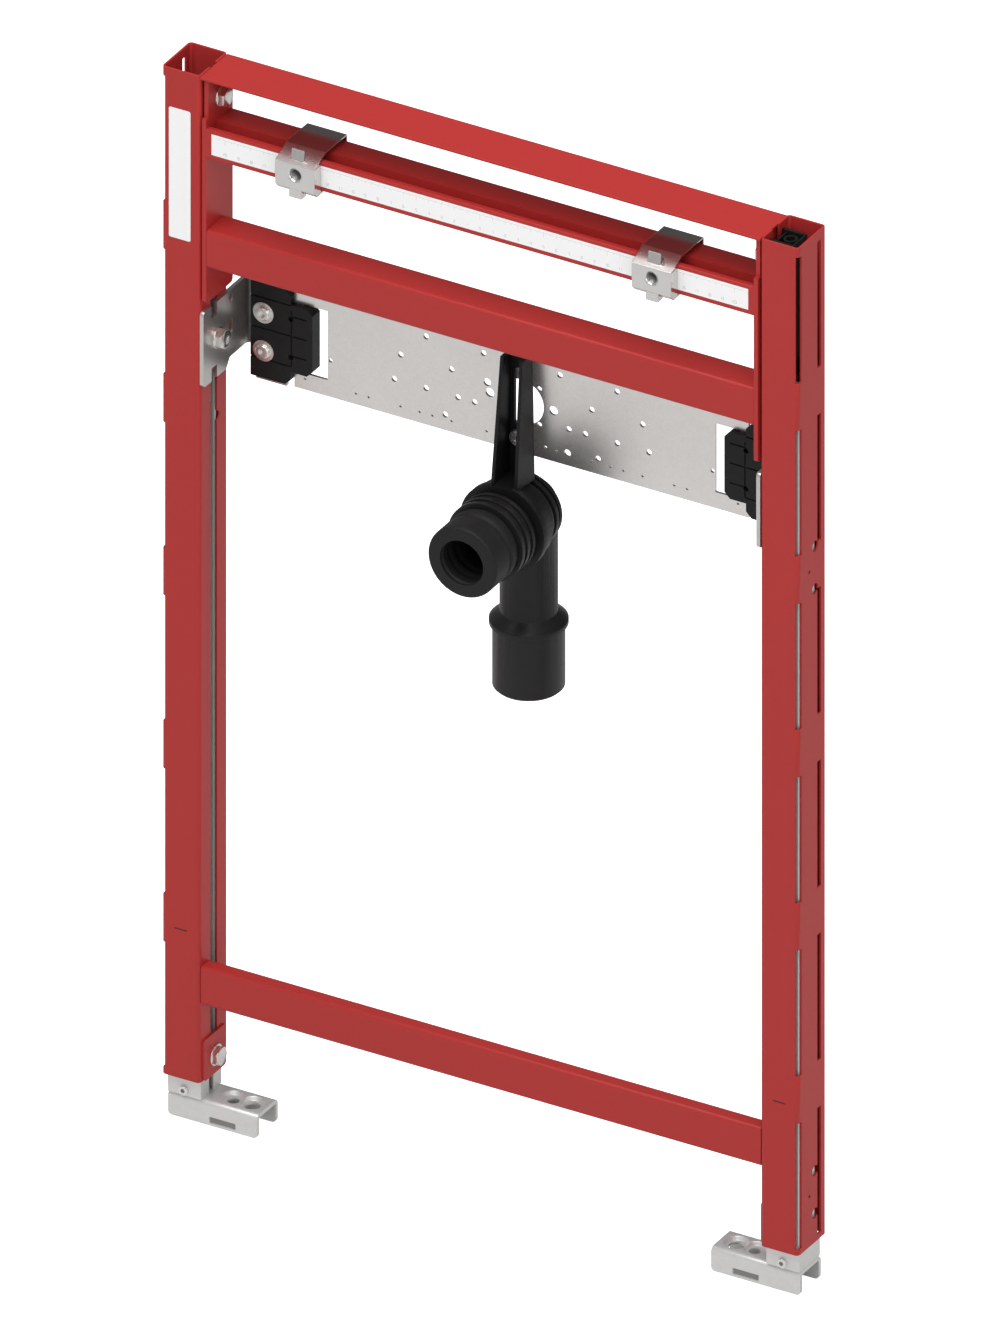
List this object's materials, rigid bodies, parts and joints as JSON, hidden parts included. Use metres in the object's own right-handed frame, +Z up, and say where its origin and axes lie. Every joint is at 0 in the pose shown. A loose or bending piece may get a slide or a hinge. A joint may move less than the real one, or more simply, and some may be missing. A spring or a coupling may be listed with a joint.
{
  "type": "washbasin installation frame",
  "caption": "Floor-standing steel frame with telescopic feet, a slotted mounting plate, a clamp rail for washbasin studs and a swan-neck drain bend.",
  "frame": {"origin": "floor edge of the left foot plate's front flange, under the left upright's axis", "axes": "+Z up, +X to the right along the frame, +Y towards the wall"},
  "size_m": [0.5, 0.1188, 0.825],
  "materials": {
    "red_powder_coat": "semi-matt red powder coat",
    "galvanised_steel": "bright galvanised sheet",
    "plated_bolts": "zinc-plated",
    "black_plastic": "matt moulded",
    "drain_plastic": "satin extruded",
    "black_rubber": "matt rubber"
  },
  "bodies": {
    "left_leg": {"left_leg": "galvanised_steel", "left_foot_plate": "galvanised_steel", "left_foot_screw": "plated_bolts"},
    "frame": {"left_upright": "red_powder_coat", "right_upright": "red_powder_coat", "top_crossbar": "red_powder_coat", "left_side_plate": "red_powder_coat", "right_side_plate": "red_powder_coat", "middle_crossbar": "red_powder_coat", "washbasin_rail": "red_powder_coat", "lower_crossbar": "red_powder_coat", "left_lock_plate": "red_powder_coat", "right_lock_plate": "red_powder_coat", "left_carrier_bracket": "galvanised_steel", "right_carrier_bracket": "galvanised_steel", "mounting_plate": "galvanised_steel", "left_lock_bolt": "plated_bolts", "right_lock_bolt": "plated_bolts", "left_top_bolt": "plated_bolts", "right_top_bolt": "plated_bolts", "left_carrier_bolt": "plated_bolts", "right_carrier_bolt": "plated_bolts", "left_holder_screws": "plated_bolts", "right_holder_screws": "plated_bolts", "drain_holder_bolt": "plated_bolts", "left_upper_guide": "black_plastic", "right_upper_guide": "black_plastic", "left_plate_holder": "black_plastic", "right_plate_holder": "black_plastic", "drain_holder": "black_plastic", "drain_bend": "drain_plastic", "drain_nipple": "black_rubber"},
    "right_leg": {"right_leg": "galvanised_steel", "right_foot_plate": "galvanised_steel", "right_foot_screw": "plated_bolts"},
    "left_clamp": {"left_clamp_strap": "galvanised_steel", "left_clamp_block": "galvanised_steel"},
    "right_clamp": {"right_clamp_strap": "galvanised_steel", "right_clamp_block": "galvanised_steel"}
  },
  "joints": [
    {"name": "frame_height", "type": "slide", "parent": "left_leg", "child": "frame", "axis": [0, 0, 1], "range_m": [0, 0.2]},
    {"name": "right_leg_extension", "type": "slide", "parent": "frame", "child": "right_leg", "axis": [0, 0, -1], "range_m": [0, 0.2]},
    {"name": "left_clamp_slide", "type": "slide", "parent": "frame", "child": "left_clamp", "axis": [1, 0, 0], "range_m": [-0.054, 0.122]},
    {"name": "right_clamp_slide", "type": "slide", "parent": "frame", "child": "right_clamp", "axis": [1, 0, 0], "range_m": [-0.122, 0.054]}
  ],
  "couplings": [
    {"joint": "right_leg_extension", "follows": "frame_height", "ratio": 1}
  ]
}
